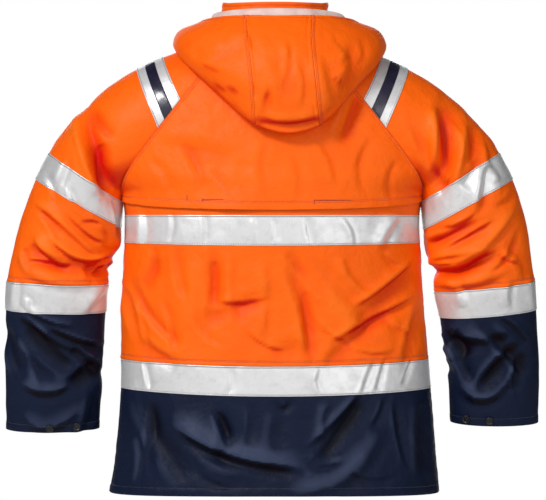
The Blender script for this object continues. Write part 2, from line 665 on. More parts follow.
def sleeve_form(side):
    def relief(u, v, points):
        s = sample(SLEEVE, "run", v)
        calm = smooth(0, SEAM_CALM["sleeve"], 1 - np.abs(u))
        still = calm + (1 - calm) * smooth(ARMPIT_RUN, ARMPIT_RUN + SEAM_CALM["arm"], v)
        behind = (points[..., 1] - s["midY"]) / s["backDepth"]
        return still * (both_folds(SLEEVE_BACK, SLEEVE_FRONT, points, behind) + lumps(points, 0.8))

    us, vs = np.linspace(-1, 1, 161), np.arange(0, CUFF_END["left"] + 3, 3.0)
    return Form(sleeve_plain(side), relief, -side, us, vs)


def hood_form():
    def relief(u, v, points):
        span = HOOD_FOLD_SPAN
        shown = smooth(span["start"], span["full"], v) * (1 - smooth(span["fade"], span["end"], v))
        return shown * (fold_relief(HOOD_ALL, points[..., 0], points[..., 2]) + lumps(points, 0.9))

    return Form(hood_plain, relief, -1, np.linspace(-1, 1, 281), np.linspace(0, HOOD_RAILS, 201))


def collar_form():
    def relief(u, v, points):
        return 0.6 * smooth(0.2, 0.6, v) * CRUMPLE(300 * u, points[..., 2])

    return Form(collar_plain, relief, -1, np.linspace(-1, 1, 241), np.linspace(0, 1, 33))


TORSO_BACK = joined(BACK_FOLDS, TORSO_CREASES)
TORSO_FRONT = joined(FRONT_FOLDS, mirrored(TORSO_CREASES))
SLEEVE_BACK = joined(SLEEVE_BACK_FOLDS, SLEEVE_CREASES)
SLEEVE_FRONT = joined(SLEEVE_FRONT_FOLDS, mirrored(SLEEVE_CREASES))
HOOD_ALL = joined(HOOD_FOLDS, HOOD_CREASES)

torso_back = torso_form(True)
torso_front = torso_form(False)
sleeves = {"left": sleeve_form(1), "right": sleeve_form(-1)}
hood = hood_form()
collar = collar_form()


def share_raglan_directions():
    """The sleeve and the torso face the same way on the raglan seam, so that their walls meet squarely."""
    rows = int(ARMPIT_RUN / 3) + 1
    for torso, sleeve_column in ((torso_back, -1), (torso_front, 0)):
        for name, torso_column in (("left", -1), ("right", 0)):
            one, other = torso.normals[:rows, torso_column], sleeves[name].normals[:rows, sleeve_column]
            shared = unit(one + other)
            torso.normals[:rows, torso_column] = shared
            sleeves[name].normals[:rows, sleeve_column] = shared


share_raglan_directions()

# Shells

# How each kind of edge is sewn: width of the turned cloth, its height, depth of the stitched groove and
# the puckers beside it
EDGES = table(
    ["width", "height", "groove", "pucker"],
    [
        (6, 0.8, 0.9, 0.6),
        (14, 0.6, 0.8, 0.7),
        (3.2, 0.1, 0.35, 0.15),
        (2.5, 0, 0, 0),
    ],
)
SEAM, HEMMED, TAPED, RAW = range(4)


def edge_places(kind):
    """Distances from a border at which a shell needs points."""
    width = EDGES["width"][kind]
    if kind == RAW:
        return [0, 0.7, 2.5]
    return [0, 0.6, 1.6, 0.6 * width, width - 1.3, width, width + 1.3, width + 3.2]


def shares_of(lengths, cell, start, end):
    """Places across rows of the given lengths, as shares: close together at both borders, even between."""
    count = max(2, int(round(lengths.mean() / cell)))
    first = np.array(edge_places(start))[None] / lengths[:, None]
    last = 1 - np.array(edge_places(end))[::-1][None] / lengths[:, None]
    steps = np.linspace(0, 1, count + 1)[None, 1:-1]
    middle = first[:, -1:] + (last[:, :1] - first[:, -1:]) * steps
    return np.concatenate([first, middle, last], axis=1)


def edge_relief(kind, distance, along, seed):
    """How far the sewn edge raises or lowers the cloth at a distance from its border."""
    width, height, groove, pucker = (EDGES[name][kind] for name in ("width", "height", "groove", "pucker"))
    turned = height * (1 - smooth(width - 1.2, width + 1.6, distance))
    uneven = 0.8 + 0.4 * PUCKER(along, 40.0 * seed + 0 * along)
    stitched = groove * np.exp(-(((distance - width) / 1.4) ** 2)) * uneven
    gathered = pucker * PUCKER(along, 40.0 * seed + 13 + 0.35 * distance) * np.exp(-((distance / (2 * width + 5)) ** 2))
    rounded = 0.5 * np.exp(-((distance / 0.6) ** 2))
    return turned - stitched + gathered * smooth(0, 2.5, distance) - rounded


def lengths_along(points, axis):
    """Distances down or across a grid of points from its first row or column."""
    steps = np.linalg.norm(np.diff(points, axis=axis), axis=-1)
    zero = np.zeros_like(np.take(steps, [0], axis=axis))
    return np.concatenate([zero, np.cumsum(steps, axis=axis)], axis=axis)


class Shell:
    """The outer and inner points of one piece of cloth, with the distances across and down it."""

    def __init__(self, form, u_ends, v_ends, edges=(RAW, RAW, RAW, RAW), closed=False, cell=CELL, wall=CLOTH,
                 out=None, run_at=None, crinkle=0.0, seed=0):
        left, right, top, bottom = edges
        run_at = run_at or (lambda u, v: v)
        middle = np.full(60, sum(u_ends) / 2)
        down = form.at(middle, run_at(middle, np.linspace(*v_ends, 60)))[0]
        height = lengths_along(down[:, None], 0)[-1, 0]
        rows = v_ends[0] + (v_ends[1] - v_ends[0]) * shares_of(np.array([height]), cell, top, bottom)[0]
        u, v = np.meshgrid(np.linspace(*u_ends, 60), rows)
        widths = lengths_along(form.at(u, run_at(u, v))[0], 1)[:, -1]
        if closed:
            count = int(round(widths.mean() / cell))
            across = np.tile(np.linspace(0, 1, count + 1), (len(rows), 1))
        else:
            across = shares_of(widths, cell, left, right)
        self.u = u_ends[0] + (u_ends[1] - u_ends[0]) * across
        self.v = run_at(self.u, np.broadcast_to(rows[:, None], self.u.shape))
        points, normals, fold = form.at(self.u, self.v)
        self.fold = fold - UNDERSIDE["depth"] * smooth(UNDERSIDE["from"], UNDERSIDE["to"], -normals[..., 2])
        self.flat = form.read(form.plain, self.u, self.v)
        s, t = lengths_along(points, 1), lengths_along(points, 0)
        lift = out(self.u, self.v, points) if out else 0
        lift = lift + edge_relief(top, t, s, seed + 1) + edge_relief(bottom, t[-1:] - t, s, seed + 2)
        if not closed:
            lift = lift + edge_relief(left, s, t, seed + 3) + edge_relief(right, s[:, -1:] - s, t, seed + 4)
        if crinkle:
            lift = lift + crinkle * (CRINKLE(s, t) + 0.5 * FINE(s, t))
        self.closed = closed
        self.outer = points + lift[..., None] * normals
        self.inner = self.outer - wall * normals
        self.normals, self.across, self.down = normals, s, t
        self.draw_in()

    def draw_in(self):
        """Moves the borders in by half the gap that neighbours keep."""
        for layer in (self.outer, self.inner):
            for border, beside in ((0, 1), (-1, -2)):
                layer[border] += unit(layer[beside] - layer[border]) * SEAM_GAP / 2
                if not self.closed:
                    layer[:, border] += unit(layer[:, beside] - layer[:, border]) * SEAM_GAP / 2

    def cut(self):
        """Width, length and area of the flat piece, before its folds, in metres."""
        width = lengths_along(self.flat, 1)[:, -1].max() * METRE
        length = lengths_along(self.flat, 0)[-1].max() * METRE
        across, down = np.diff(self.flat, axis=1)[:-1], np.diff(self.flat, axis=0)[:, :-1]
        area = np.linalg.norm(np.cross(across, down), axis=-1).sum() * METRE**2
        return width, length, area

    def line(self, axis, distance, far=False, off=0.25):
        """Points and outward directions along a border, at a distance from it."""
        order = (1, 0, 2) if axis == 1 else (0, 1, 2)
        points, normals = self.outer.transpose(order), self.normals.transpose(order)
        measure = self.down if axis == 0 else self.across.T
        if far:
            measure, points, normals = (measure[-1:] - measure)[::-1], points[::-1], normals[::-1]
        row = np.clip((measure < distance).sum(axis=0), 1, len(measure) - 1)
        column = np.arange(measure.shape[1])
        low, high = measure[row - 1, column], measure[row, column]
        t = ((distance - low) / (high - low))[:, None]
        point = points[row - 1, column] * (1 - t) + points[row, column] * t
        normal = unit(normals[row - 1, column] * (1 - t) + normals[row, column] * t)
        return point + off * normal, normal


def shell_faces(rows, columns, closed):
    """Faces of a closed wall between an outer and an inner grid, and which are the outer ones."""
    j, i = np.meshgrid(np.arange(rows - 1), np.arange(columns - 1), indexing="ij")
    a = (j * columns + i).ravel()
    outer = np.stack([a, a + 1, a + columns + 1, a + columns], axis=1)
    layer = rows * columns
    inner = outer[:, ::-1] + layer
    i = np.arange(columns - 1)
    top = np.stack([i + layer, i + 1 + layer, i + 1, i], axis=1)
    last = (rows - 1) * columns + i
    bottom = np.stack([last, last + 1, last + 1 + layer, last + layer], axis=1)
    faces = [outer, inner, top, bottom]
    if not closed:
        j = np.arange(rows - 1) * columns
        faces.append(np.stack([j, j + columns, j + columns + layer, j + layer], axis=1))
        j = j + columns - 1
        faces.append(np.stack([j + layer, j + columns + layer, j + columns, j], axis=1))
    return np.concatenate(faces), len(outer), 2 * len(outer)


def new_object(name, points, faces, materials):
    mesh = bpy.data.meshes.new(name)
    mesh.from_pydata((points * METRE).tolist(), [], faces.tolist() if hasattr(faces, "tolist") else faces)
    for material in materials:
        mesh.materials.append(material)
    mesh.polygons.foreach_set("use_smooth", np.ones(len(mesh.polygons), dtype=bool))
    mesh.update()
    piece = bpy.data.objects.new(name, mesh)
    bpy.context.scene.collection.objects.link(piece)
    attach(piece, "root")
    return piece


def facing_out(points, faces):
    """The faces, turned round if they face in."""
    a, b, c, d = (points[faces[:, k]] for k in range(4))
    volume = (a * np.cross(b, c)).sum() + (a * np.cross(c, d)).sum()
    return faces if volume > 0 else faces[:, ::-1]


def cloth_piece(node, shell, outside, inside):
    """One sewn piece: the shell's mesh, with its distances as UVs and its folds as an attribute."""
    rows, columns = shell.outer.shape[:2]
    points = np.concatenate([shell.outer.reshape(-1, 3), shell.inner.reshape(-1, 3)])
    faces, outer_count, wall_count = shell_faces(rows, columns, shell.closed)
    uvs = np.stack([shell.across.ravel(), shell.down.ravel()], axis=1) * METRE
    fold = shell.fold.ravel()
    merged = faces
    if shell.closed:
        merged = np.where(faces % columns == columns - 1, faces - columns + 1, faces)
    faced = facing_out(points, merged)
    if faced is not merged:
        faces = faces[:, ::-1]
    piece = new_object(f"cloth_{node}", points, faced, [outside, inside])
    mesh = piece.data
    corner_uvs = np.concatenate([uvs, uvs])[faces.ravel()]
    mesh.uv_layers.new(name="UVMap").data.foreach_set("uv", corner_uvs.ravel())
    index = np.zeros(len(faces), dtype=np.int32)
    index[outer_count:wall_count] = 1
    mesh.polygons.foreach_set("material_index", index)
    mesh.attributes.new("fold", "FLOAT", "POINT").data.foreach_set("value", np.concatenate([fold, fold]))
    if shell.closed:
        drop_loose(mesh)
    width, length, area = shell.cut()
    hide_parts(node)
    return piece


def drop_loose(mesh):
    """Removes the points that no face uses."""
    import bmesh

    work = bmesh.new()
    work.from_mesh(mesh)
    bmesh.ops.delete(work, geom=[vert for vert in work.verts if not vert.link_faces], context="VERTS")
    work.to_mesh(mesh)
    work.free()


# Stitches

STITCH = {"length": 2.9, "step": 4.2, "radius": 0.42}


def stitches(name, lines, material, size=STITCH):
    """Rows of thread stitches along lines of points, as small capsules in one piece."""
    starts, ends, outs = [], [], []
    for points, normals in lines:
        run = lengths_along(points[:, None], 0)[:, 0]
        places = np.arange(0.3 * size["step"], run[-1] - size["step"], size["step"])
        for low, high in ((starts, 0), (ends, size["length"])):
            low.append(np.stack([np.interp(places + high, run, points[:, k]) for k in range(3)], axis=1))
        outs.append(np.stack([np.interp(places, run, normals[:, k]) for k in range(3)], axis=1))
    start, end, out = np.concatenate(starts), np.concatenate(ends), unit(np.concatenate(outs))
    along = unit(end - start)
    beside = unit(np.cross(along, out))
    rings = []
    for share in (0.12, 0.88):
        centre = start + share * (end - start)
        for x, y in ((1, 0), (0, 1), (-1, 0), (0, -1)):
            rings.append(centre + size["radius"] * (x * beside + y * out))
    points = np.stack([start, *rings, end], axis=1)
    local = []
    for k in range(4):
        near, far = 1 + k, 1 + (k + 1) % 4
        local += [(0, far, near), (near, far, far + 4, near + 4), (9, near + 4, far + 4)]
    faces = [[index + 10 * number for index in face] for number in range(len(points)) for face in local]
    return new_object(name, points.reshape(-1, 3), faces, [material])


# Materials


def srgb(red, green, blue):
    """A colour as the renderer's linear numbers."""
    values = [c / 255 for c in (red, green, blue)]
    return tuple(c / 12.92 if c <= 0.04045 else ((c + 0.055) / 1.055) ** 2.4 for c in values) + (1.0,)


class Nodes:
    """A new material and short ways to add nodes to it."""

    def __init__(self, name):
        self.material = bpy.data.materials.new(name)
        self.material.use_nodes = True
        self.tree = self.material.node_tree
        self.shader = self.tree.nodes["Principled BSDF"]

    def add(self, kind, inputs=None, **settings):
        node = self.tree.nodes.new(kind)
        for key, value in settings.items():
            setattr(node, key, value)
        for key, value in (inputs or {}).items():
            self.set(node.inputs[key], value)
        return node

    def set(self, socket, value):
        if hasattr(value, "is_output"):
            self.tree.links.new(value, socket)
        else:
            socket.default_value = value

    def mix(self, share, first, second):
        node = self.add("ShaderNodeMix", data_type="RGBA")
        self.set(node.inputs[0], share)
        self.set(node.inputs[6], first)
        self.set(node.inputs[7], second)
        return node.outputs[2]

    def span(self, value, low, high, to_low=0.0, to_high=1.0):
        node = self.add("ShaderNodeMapRange", {"Value": value, "From Min": low, "From Max": high})
        node.inputs["To Min"].default_value = to_low
        node.inputs["To Max"].default_value = to_high
        return node.outputs["Result"]

    def noise(self, coordinates, scale, detail=2.0, roughness=0.5):
        inputs = {"Vector": coordinates, "Scale": scale, "Detail": detail, "Roughness": roughness}
        return self.add("ShaderNodeTexNoise", inputs).outputs["Fac"]

    def bump(self, height, strength, distance, under=None):
        inputs = {"Height": height, "Strength": strength, "Distance": distance}
        if under is not None:
            inputs["Normal"] = under
        return self.add("ShaderNodeBump", inputs).outputs["Normal"]

    def weave(self, thread):
        """Heights of a plain weave over the UVs, which are in metres."""
        uv = self.add("ShaderNodeUVMap", uv_map="UVMap").outputs["UV"]
        bands = [
            self.add("ShaderNodeTexWave", {"Vector": uv, "Scale": 0.314 / thread}, bands_direction=way).outputs["Fac"]
            for way in ("X", "Y")
        ]
        return self.add("ShaderNodeMath", {0: bands[0], 1: bands[1]}, operation="MULTIPLY").outputs[0]

    def shade(self, **values):
        for key, value in values.items():
            self.set(self.shader.inputs[key.replace("_", " ")], value)
        return self.material


def coated_cloth(name, base, shade, deep, raised, roughness, gloss):
    """Woven polyester with a coating: a fold's bottom is deeper in colour and its crest lighter."""
    n = Nodes(name)
    place = n.add("ShaderNodeTexCoord").outputs["Object"]
    fold = n.add("ShaderNodeAttribute", attribute_name="fold").outputs["Fac"]
    patches = n.noise(place, 14.0, 3.0)
    colour = n.mix(n.span(fold, -2.0, -9.0), base, shade)
    colour = n.mix(n.span(fold, -10.0, -19.0), colour, deep)
    colour = n.mix(n.span(fold, 0.5, 5.0, 0.0, 0.6), colour, raised)
    colour = n.mix(n.span(patches, 0.42, 0.75, 0.0, 0.25), colour, shade)
    crinkles = n.noise(place, 95.0, 5.0, 0.6)
    lumps_height = n.noise(place, 34.0, 3.0, 0.55)
    normal = n.bump(lumps_height, 0.5, 0.006)
    normal = n.bump(crinkles, 0.35, 0.0016, normal)
    normal = n.bump(n.weave(0.0006), 0.25, 0.0001, normal)
    n.set(n.shader.inputs["Roughness"], n.span(crinkles, 0.3, 0.7, roughness - 0.05, roughness + 0.07))
    return n.shade(Base_Color=colour, Normal=normal, Specular_IOR_Level=gloss)


def backing_cloth(name, base, shade):
    """The inside of the coated cloth."""
    n = Nodes(name)
    place = n.add("ShaderNodeTexCoord").outputs["Object"]
    colour = n.mix(n.noise(place, 30.0, 3.0), base, shade)
    normal = n.bump(n.weave(0.0006), 0.4, 0.0001, n.bump(n.noise(place, 60.0, 4.0), 0.3, 0.002))
    return n.shade(Base_Color=colour, Normal=normal, Roughness=0.6)


def reflective_tape(name, bright, dull):
    """Silver glass-bead tape: a metallic face, creased, duller where it is rubbed."""
    n = Nodes(name)
    place = n.add("ShaderNodeTexCoord").outputs["Object"]
    rubbed = n.noise(place, 60.0, 5.0, 0.65)
    colour = n.mix(n.span(rubbed, 0.5, 0.75, 0.0, 0.45), bright, dull)
    creases = n.add("ShaderNodeTexVoronoi", {"Vector": place, "Scale": 55.0}, feature="DISTANCE_TO_EDGE")
    creased = n.span(creases.outputs["Distance"], 0.0, 0.09)
    normal = n.bump(n.noise(place, 40.0, 3.0), 0.2, 0.003)
    normal = n.bump(creased, 0.1, 0.0005, normal)
    normal = n.bump(n.noise(place, 2600.0, 1.0), 0.25, 0.0002, normal)
    rough = n.span(rubbed, 0.3, 0.7, 0.33, 0.45)
    return n.shade(Base_Color=colour, Normal=normal, Metallic=0.4, Roughness=rough)


def glossy_band(name, base, worn):
    """The smooth dark band on the shoulder tapes."""
    n = Nodes(name)
    place = n.add("ShaderNodeTexCoord").outputs["Object"]
    colour = n.mix(n.span(n.noise(place, 80.0, 5.0), 0.5, 0.75, 0.0, 0.5), base, worn)
    normal = n.bump(n.noise(place, 90.0, 4.0), 0.3, 0.0012)
    return n.shade(Base_Color=colour, Normal=normal, Roughness=0.25, Coat_Weight=0.4, Coat_Roughness=0.15)


def lining_cloth(name, base, shade):
    n = Nodes(name)
    place = n.add("ShaderNodeTexCoord").outputs["Object"]
    colour = n.mix(n.span(n.noise(place, 40.0, 3.0), 0.35, 0.7), base, shade)
    normal = n.bump(n.weave(0.0008), 0.5, 0.0002, n.bump(n.noise(place, 80.0, 3.0), 0.3, 0.002))
    return n.shade(Base_Color=colour, Normal=normal, Roughness=0.75, Sheen_Weight=0.3)


def moulded_plastic(name, base, worn):
    n = Nodes(name)
    place = n.add("ShaderNodeTexCoord").outputs["Object"]
    colour = n.mix(n.span(n.noise(place, 300.0, 4.0), 0.5, 0.8), base, worn)
    normal = n.bump(n.noise(place, 1400.0, 2.0), 0.15, 0.0002)
    return n.shade(Base_Color=colour, Normal=normal, Roughness=0.35)


def thread(name, base, shade):
    n = Nodes(name)
    place = n.add("ShaderNodeTexCoord").outputs["Object"]
    twist = n.add("ShaderNodeTexWave", {"Vector": place, "Scale": 900.0}, bands_direction="DIAGONAL").outputs["Fac"]
    colour = n.mix(twist, base, shade)
    return n.shade(Base_Color=colour, Normal=n.bump(twist, 0.5, 0.0002), Roughness=0.55, Sheen_Weight=0.3)


def floor_material():
    n = Nodes("pale_floor")
    place = n.add("ShaderNodeTexCoord").outputs["Object"]
    colour = n.mix(n.noise(place, 3.0), srgb(238, 237, 235), srgb(230, 229, 227))
    return n.shade(Base_Color=colour, Roughness=0.8)


ORANGE = coated_cloth(
    "orange_coated", srgb(255, 102, 6), srgb(240, 78, 2), srgb(208, 14, 6), srgb(255, 116, 20), 0.5, 0.16
)
ORANGE_BACK = backing_cloth("orange_backing", srgb(226, 112, 60), srgb(202, 92, 46))
NAVY = coated_cloth(
    "navy_coated", srgb(17, 26, 50), srgb(6, 9, 24), srgb(18, 5, 16), srgb(66, 76, 104), 0.5, 0.12
)
NAVY_BACK = backing_cloth("navy_backing", srgb(34, 38, 52), srgb(24, 28, 40))
SILVER = reflective_tape("silver_tape", srgb(226, 226, 227), srgb(186, 187, 190))
BAND = glossy_band("dark_band", srgb(20, 17, 44), srgb(52, 48, 72))
WHITE = lining_cloth("pale_lining", srgb(240, 212, 204), srgb(214, 180, 172))
BLACK = moulded_plastic("black_plastic", srgb(4, 4, 7), srgb(16, 17, 22))
ORANGE_THREAD = thread("orange_thread", srgb(206, 66, 4), srgb(168, 42, 0))
NAVY_THREAD = thread("navy_thread", srgb(14, 20, 40), srgb(8, 12, 26))
SILVER_THREAD = thread("silver_thread", srgb(206, 206, 206), srgb(150, 150, 152))

# Pieces


def slanted(u, row):
    """The rows of a sleeve slant back over the shoulder, along the shoulder tape."""
    share = np.clip(row / SHOULDER_TAPE["slant_end"], 0, 1)
    return row + SHOULDER_TAPE["slant"] * np.sin(np.pi * share) ** 2 * u * u


def yoke_lift(u, v, points):
    """How far the back flap stands off the panel under it."""
    lift = YOKE["lift"] * smooth(YOKE["lift_from"], YOKE["lift_to"], v)
    edge = smooth(YOKE["rest"], YOKE["edge"], v)
    gape = YOKE_GAPE["out"] * np.exp(-(((points[..., 0] - YOKE_GAPE["x"]) / YOKE_GAPE["width"]) ** 2))
    return lift + edge * (YOKE["edge_lift"] - YOKE["lift"] + gape + 0.8 * LUMPS(points[..., 0], 0 * v))


def yoke_run(u, row):
    beyond = np.maximum(0, row - YOKE["rest"]) / (YOKE["edge"] - YOKE["rest"])
    return row - beyond * YOKE["side_rise"] * u * u


def lifted(by):
    return lambda u, v, points: by


def tape_shell(form, u_ends, v_ends, off=TAPE_LIFT + TAPE, **options):
    return Shell(form, u_ends, v_ends, cell=TAPE_CELL, wall=TAPE, out=lifted(off), crinkle=0.13, **options)


def tape_piece(node, shell):
    return cloth_piece(node, shell, SILVER, SILVER)


TAPE_EDGES = (RAW, RAW, TAPED, TAPED)


def edge_lines(shell, axis, *places):
    """Stitch lines at distances from a border; a negative place counts from the far border."""
    return [shell.line(axis, abs(place), far=place < 0) for place in places]


def make_torso():
    back = {
        "back_yoke": Shell(torso_back, (-1, 1), (0, YOKE["edge"]), (SEAM, SEAM, SEAM, HEMMED), out=yoke_lift,
                           run_at=yoke_run, seed=1),
        "back_panel": Shell(torso_back, (-1, 1), (YOKE["rest"], WAIST_SEAM), (SEAM, SEAM, RAW, SEAM), seed=2),
    }
    lines = [
        *edge_lines(back["back_yoke"], 0, 6, -14, -11.5),
        *edge_lines(back["back_yoke"], 1, 2.5, 6, -2.5, -6),
        *edge_lines(back["back_panel"], 0, -9, -6.5),
    ]
    fronts = {}
    for side, ends in (("left", (0, 1)), ("right", (-1, 0))):
        edges = (RAW, SEAM, SEAM, SEAM) if side == "left" else (SEAM, RAW, SEAM, SEAM)
        fronts[f"front_{side}"] = Shell(torso_front, ends, (0, WAIST_SEAM), edges, seed=3)
        lines += edge_lines(fronts[f"front_{side}"], 1, *((-2.5, -6) if side == "left" else (2.5, 6)))
        lines += edge_lines(fronts[f"front_{side}"], 0, 6, -9, -6.5)
    for node, shell in {**back, **fronts}.items():
        cloth_piece(node, shell, ORANGE, ORANGE_BACK)
    stitches("stitches_body", lines, ORANGE_THREAD)
    tacks = tack_lines(back["back_yoke"])
    stitches("stitches_tacks", tacks, ORANGE_THREAD, {"length": 2.6, "step": 1.5, "radius": 0.7})


# Bar tacks on the back flap, as lines seen from behind
TACKS = table(["x0", "z0", "x1", "z1"], [
    (142, -263, 142, -273),
    (116, -272, 80, -272),
    (116, -269, 116, -275),
    (-68, -273, -134, -273),
    (-70, -273, -70, -280),
])


def tack_lines(shell):
    """The bar tacks' lines, laid on the nearest cloth of the back flap."""
    points, normals = shell.outer.reshape(-1, 3), shell.normals.reshape(-1, 3)
    behind = points[:, 1] > 0
    points, normals = points[behind], normals[behind]
    lines = []
    for x0, z0, x1, z1 in zip(*(TACKS[name] for name in ("x0", "z0", "x1", "z1"))):
        count = max(4, int(math.hypot(x1 - x0, z1 - z0) / 4))
        x, z = np.linspace(x0, x1, count), np.linspace(z0, z1, count)
        nearest = ((points[None, :, 0] - x[:, None]) ** 2 + (points[None, :, 2] - z[:, None]) ** 2).argmin(axis=1)
        near, out = points[nearest], normals[nearest]
        y = near[:, 1] - (out[:, 0] * (x - near[:, 0]) + out[:, 2] * (z - near[:, 2])) / out[:, 1]
        lines.append((np.stack([x, y, z], axis=1) + 0.4 * out, out))
    return lines


def make_skirts():
    lines = []
    parts = {
        "back_skirt": (torso_back, (-1, 1), (SEAM, SEAM, RAW, HEMMED)),
        "front_skirt_left": (torso_front, (0, 1), (RAW, SEAM, RAW, HEMMED)),
        "front_skirt_right": (torso_front, (-1, 0), (SEAM, RAW, RAW, HEMMED)),
    }
    for seed, (node, (form, ends, edges)) in enumerate(parts.items()):
        shell = Shell(form, ends, (WAIST_SEAM, HEM), edges, seed=20 + seed)
        cloth_piece(node, shell, NAVY, NAVY_BACK)
        lines += edge_lines(shell, 0, -14)
    stitches("stitches_skirt", lines, NAVY_THREAD)


def make_body_tapes():
    lines = []
    for name, ends in (("chest_tape", CHEST_TAPE), ("waist_tape", WAIST_TAPE)):
        back = tape_shell(torso_back, (-1, 1), ends, edges=TAPE_EDGES, seed=30)
        left = tape_shell(torso_front, (0.09, 1), ends, edges=TAPE_EDGES, seed=31)
        right = tape_shell(torso_front, (-1, -0.09), ends, edges=TAPE_EDGES, seed=32)
        for where, shell in (("back", back), ("left", left), ("right", right)):
            tape_piece(f"{name}_{where}", shell)
            lines += edge_lines(shell, 0, 3.2, -3.2)
    stitches("stitches_body_tapes", lines, SILVER_THREAD)


def front_width(run):
    """How far the front spreads for each unit of u near its middle."""
    near = 0.02
    run = np.atleast_1d(run).astype(float)
    return (torso_front.at(0 * run + near, run)[0][:, 0] - torso_front.at(0 * run, run)[0][:, 0]) / near


FLAP_ON_COLLAR = 0.25


class FlapForm:
    """The storm flap's own strip: u across from -1 to 1, v the run, and above the front the collar."""

    def __init__(self):
        self.us = np.linspace(-1, 1, 25)
        self.vs = np.linspace(-90, HEM, 322)
        u, v = np.meshgrid(self.us, self.vs)
        run = np.maximum(v, FLAP["first_run"])
        widths = np.interp(run[:, 0], np.arange(0, HEM, 10.0), front_width(np.arange(0, HEM, 10.0)))[:, None]
        front, front_normals, fold = torso_front.at(u * FLAP["half"] / widths, run)
        on_collar = FLAP_ON_COLLAR + (1 - FLAP_ON_COLLAR) * np.clip((FLAP["first_run"] - v - 44) / 60, 0, 1)
        turned = 1 - u * FLAP["half"] / NECK["side_x"] / math.pi
        turned = np.where(turned > 1, turned - 2, turned)
        up, up_normals, _ = collar.at(turned, on_collar)
        share = smooth(FLAP["first_run"] - 44, FLAP["first_run"], v)[..., None]
        self.points = share * front + (1 - share) * up
        self.plain = self.points
        self.normals = unit(share * front_normals + (1 - share) * up_normals)
        self.relief = fold

    read = Form.read
    at = Form.at


def make_flap():
    form = FlapForm()
    off = FLAP["lift"] + CLOTH
    top = Shell(form, (-1, 1), (-90, WAIST_SEAM), (SEAM, SEAM, SEAM, RAW), out=lifted(off), seed=40)
    low = Shell(form, (-1, 1), (WAIST_SEAM, HEM), (SEAM, SEAM, RAW, HEMMED), out=lifted(off), seed=41)
    cloth_piece("front_flap", top, ORANGE, ORANGE_BACK)
    cloth_piece("front_flap_skirt", low, NAVY, NAVY_BACK)
    lines = []
    for name, ends in (("chest_tape", CHEST_TAPE), ("waist_tape", WAIST_TAPE)):
        shell = tape_shell(form, (-0.99, 0.99), ends, off=off + TAPE_LIFT + TAPE, edges=TAPE_EDGES, seed=42)
        tape_piece(f"{name}_flap", shell)
        lines += edge_lines(shell, 0, 3.2, -3.2)
    stitches("stitches_flap_tapes", lines, SILVER_THREAD)
    stitches("stitches_flap", edge_lines(top, 1, 6, -6) + edge_lines(top, 0, 6), ORANGE_THREAD)


def make_sleeve(side):
    form = sleeves[side]
    seed = 50 if side == "left" else 60
    sleeve = Shell(form, (-1, 1), (0, CUFF_SEAM), (RAW, RAW, SEAM, SEAM), run_at=slanted, seed=seed)
    cuff = Shell(form, (-1, 1), (CUFF_SEAM, CUFF_END[side]), (RAW, RAW, RAW, HEMMED), closed=True, seed=seed + 1)
    cloth_piece(f"sleeve_{side}", sleeve, ORANGE, ORANGE_BACK)
    cloth_piece(f"cuff_{side}", cuff, NAVY, NAVY_BACK)
    stitches(f"stitches_sleeve_{side}", edge_lines(sleeve, 0, -9, -6.5), ORANGE_THREAD)
    stitches(f"stitches_cuff_{side}", edge_lines(cuff, 0, -14), NAVY_THREAD)
    top = SHOULDER_TAPE["upper"]
    shoulder = tape_shell(form, (-1, 1), (top, top + SHOULDER_TAPE["width"]), edges=TAPE_EDGES, run_at=slanted,
                          seed=seed + 2)
    band = tape_shell(form, (-1, 1), tuple(top + place for place in SHOULDER_BAND), run_at=slanted,
                      off=2 * (TAPE_LIFT + TAPE), seed=seed + 3)
    tape_piece(f"shoulder_tape_{side}", shoulder)
    cloth_piece(f"shoulder_band_{side}", band, BAND, BAND)
    lines = edge_lines(shoulder, 0, 3.2, -3.2)
    for name, ends in (("upper_arm_tape", ARM_TAPE), ("lower_arm_tape", CUFF_TAPE)):
        shell = tape_shell(form, (-1, 1), ends, edges=TAPE_EDGES, closed=True, seed=seed + 4)
        tape_piece(f"{name}_{side}", shell)
        lines += edge_lines(shell, 0, 3.2, -3.2)
    stitches(f"stitches_arm_tapes_{side}", lines, SILVER_THREAD)


SNAP_SIDES = 48


def make_snap(node, place, out):
    """A press stud's cap: a rounded rim about a shallow dish with a small raised middle."""
    radius, height = SNAP["radius"], SNAP["height"]
    profile = [
        (0, 0), (radius - 0.3, 0), (radius, 0.3), (radius, height - 1.1), (radius - 0.25, height - 0.45),
        (radius - 0.8, height - 0.08), (radius - 1.4, height), (radius - 1.9, height - 0.3),
        (radius - 2.4, height - 0.85), (radius - 3, height - 1), (2.2, height - 0.9), (1.6, height - 0.65),
        (0.8, height - 0.5), (0, height - 0.48),
    ]
    aside = unit(np.cross(out, [0.0, 0.0, 1.0]))
    above = np.cross(aside, out)
    turns = np.linspace(0, 2 * math.pi, SNAP_SIDES, endpoint=False)
    points = [place + profile[0][1] * out]
    for r, up in profile[1:-1]:
        points += [place + up * out + r * (math.cos(t) * aside + math.sin(t) * above) for t in turns]
    points.append(place + profile[-1][1] * out)
    faces = []
    last = len(points) - 1
    for k in range(SNAP_SIDES):
        near, far = 1 + k, 1 + (k + 1) % SNAP_SIDES
        faces.append([0, near, far])
        for ring in range(len(profile) - 3):
            low = ring * SNAP_SIDES
            faces.append([near + low, near + low + SNAP_SIDES, far + low + SNAP_SIDES, far + low])
        low = (len(profile) - 3) * SNAP_SIDES
        faces.append([near + low, last, far + low])
    piece = new_object(f"cap_{node}", np.array(points), faces, [BLACK])
    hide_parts(node)


def make_snaps(side):
    for number, turn in enumerate(SNAP_TURNS[side], start=1):
        run = CUFF_END[side] - SNAP["above"]
        point, out, _ = sleeves[side].at(np.array([turn]), np.array([float(run)]))
        make_snap(f"snap_{side}_{number}", point[0] + SNAP["lift"] * out[0], out[0])


